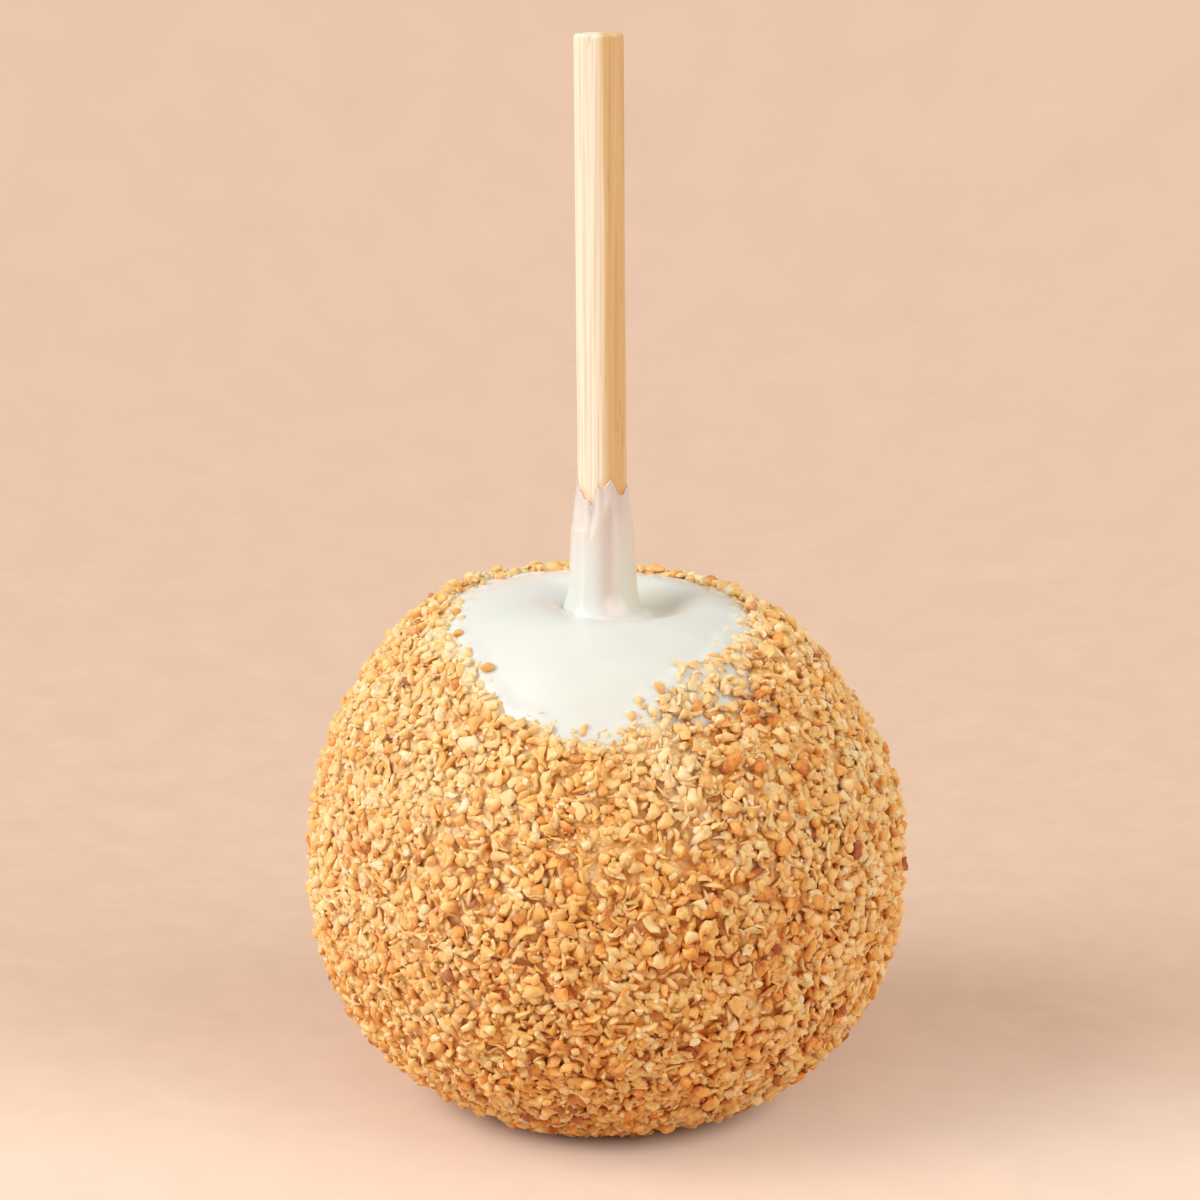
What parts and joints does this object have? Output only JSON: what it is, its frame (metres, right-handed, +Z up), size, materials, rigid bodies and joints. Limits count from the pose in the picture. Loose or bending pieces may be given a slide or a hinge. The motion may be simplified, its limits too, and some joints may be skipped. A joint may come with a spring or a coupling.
{
  "type": "caramel apple",
  "caption": "Apple dipped in smooth white coating and rolled in chopped toasted nuts, on a round wooden stick that stands straight up.",
  "frame": {"origin": "on the floor, under the middle of the apple's flat base", "axes": "+Z up along the stick, -Y towards the side where the bare white pool dips lowest, +X to the right seen from there"},
  "size_m": [0.0812, 0.0813, 0.1419],
  "materials": {
    "white_coating": "smooth satin confectionery coating, warm white",
    "chopped_nuts": "chopped toasted peanuts, matt, golden with pale and brown bits",
    "wood": "bare pale birch, fine straight grain"
  },
  "bodies": {
    "root": {"coated_apple": "white_coating", "nut_coat": "chopped_nuts", "stick": "wood"}
  },
  "joints": []
}
